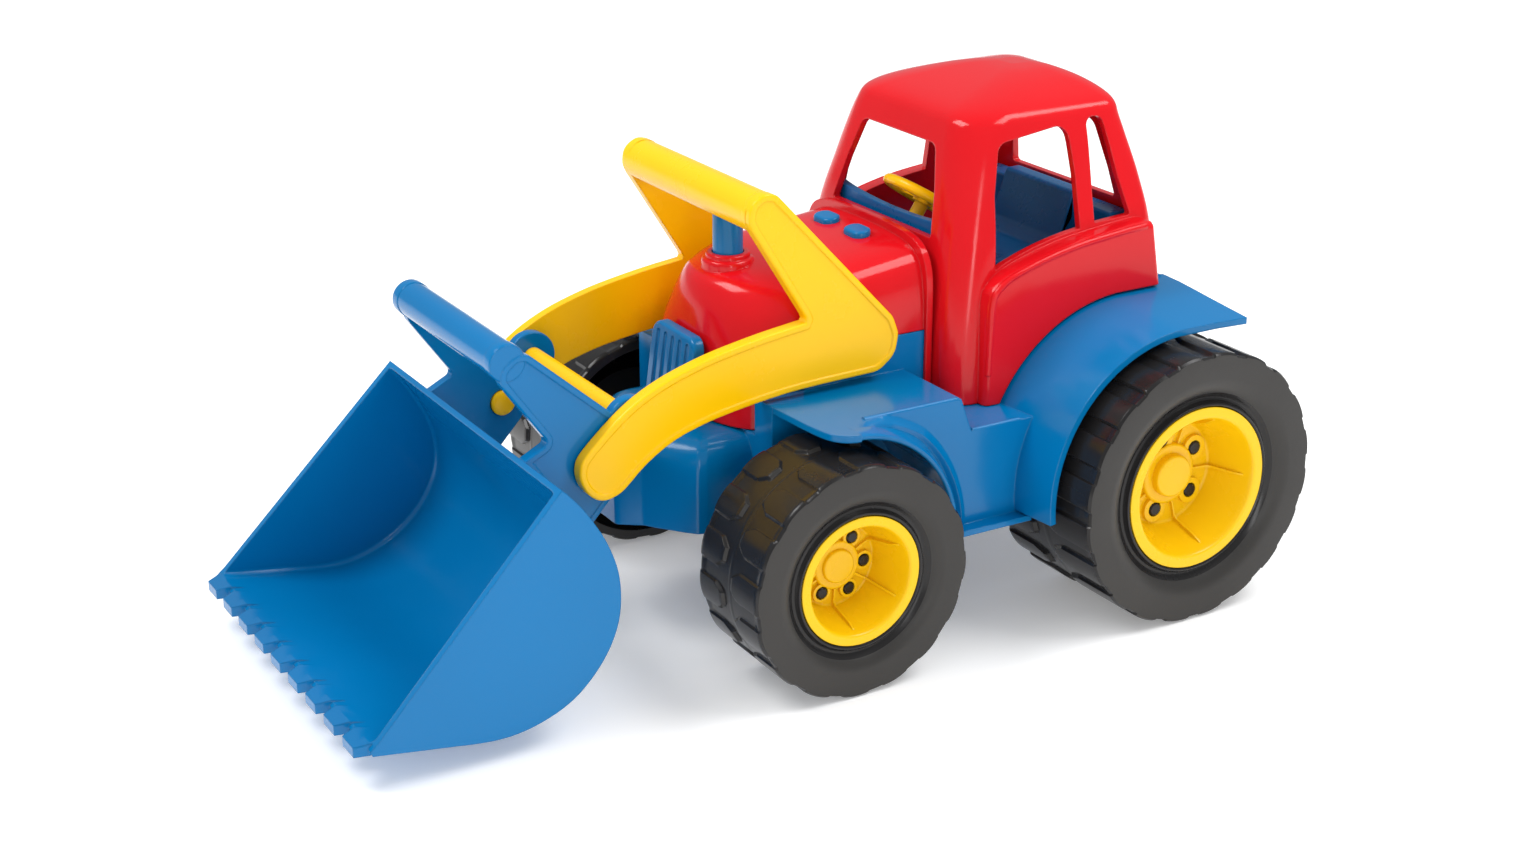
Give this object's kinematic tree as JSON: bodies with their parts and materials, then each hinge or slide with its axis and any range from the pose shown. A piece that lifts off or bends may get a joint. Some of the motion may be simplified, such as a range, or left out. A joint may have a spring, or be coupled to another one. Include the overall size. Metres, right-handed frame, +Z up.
{
  "type": "toy front loader tractor",
  "caption": "Push-along toy tractor with a cab, a lifting front loader with a tipping toothed bucket, and free-running wheels.",
  "frame": {"origin": "middle of the footprint, on the ground under the vehicle", "axes": "+Z up, -Y towards the front (the bucket), +X towards the vehicle's left side"},
  "size_m": [0.2306, 0.3834, 0.1996],
  "materials": {
    "plastic_blue": "moulded, glossy",
    "plastic_red": "moulded, glossy",
    "plastic_yellow": "moulded, glossy",
    "tyre_black": "moulded, semi-gloss",
    "axle_steel": "drawn"
  },
  "bodies": {
    "chassis": {"chassis": "plastic_blue", "bonnet": "plastic_red", "cab": "plastic_red", "seat": "plastic_blue", "dashboard": "plastic_blue", "exhaust_stack": "plastic_blue", "bonnet_plug_left": "plastic_blue", "bonnet_plug_right": "plastic_blue", "radiator_grille": "plastic_blue", "front_axle": "axle_steel", "rear_axle": "axle_steel", "axle_clip_front_left": "axle_steel", "axle_clip_front_right": "axle_steel", "axle_clip_rear_left": "axle_steel", "axle_clip_rear_right": "axle_steel"},
    "loader": {"loader_arms": "plastic_yellow"},
    "bucket": {"bucket": "plastic_blue", "bucket_tie_rod": "plastic_yellow"},
    "steering": {"steering_wheel": "plastic_yellow"},
    "wheel_front_left": {"tyre_front_left": "tyre_black", "rim_front_left": "plastic_yellow", "hub_cap_front_left": "plastic_yellow"},
    "wheel_front_right": {"tyre_front_right": "tyre_black", "rim_front_right": "plastic_yellow", "hub_cap_front_right": "plastic_yellow"},
    "wheel_rear_left": {"tyre_rear_left": "tyre_black", "rim_rear_left": "plastic_yellow", "hub_cap_rear_left": "plastic_yellow"},
    "wheel_rear_right": {"tyre_rear_right": "tyre_black", "rim_rear_right": "plastic_yellow", "hub_cap_rear_right": "plastic_yellow"}
  },
  "joints": [
    {"name": "loader_lift", "type": "hinge", "parent": "chassis", "child": "loader", "pos_m": [0, 0.03045, 0.1048], "axis": [-1, 0, 0], "range_deg": [-1.5, 50]},
    {"name": "bucket_tip", "type": "hinge", "parent": "loader", "child": "bucket", "pos_m": [0, -0.08195, 0.0825], "axis": [1, 0, 0], "range_deg": [-25, 40]},
    {"name": "steering_turn", "type": "hinge", "parent": "chassis", "child": "steering", "pos_m": [0, 0.08505, 0.148], "axis": [0, 0.5519, 0.8339], "continuous": true},
    {"name": "wheel_spin_front_left", "type": "hinge", "parent": "chassis", "child": "wheel_front_left", "pos_m": [0.0821, -0.00755, 0.04484], "axis": [1, 0, 0], "continuous": true},
    {"name": "wheel_spin_front_right", "type": "hinge", "parent": "chassis", "child": "wheel_front_right", "pos_m": [-0.0821, -0.00755, 0.04484], "axis": [1, 0, 0], "continuous": true},
    {"name": "wheel_spin_rear_left", "type": "hinge", "parent": "chassis", "child": "wheel_rear_left", "pos_m": [0.0857, 0.13695, 0.05442], "axis": [1, 0, 0], "continuous": true},
    {"name": "wheel_spin_rear_right", "type": "hinge", "parent": "chassis", "child": "wheel_rear_right", "pos_m": [-0.0857, 0.13695, 0.05442], "axis": [1, 0, 0], "continuous": true}
  ]
}
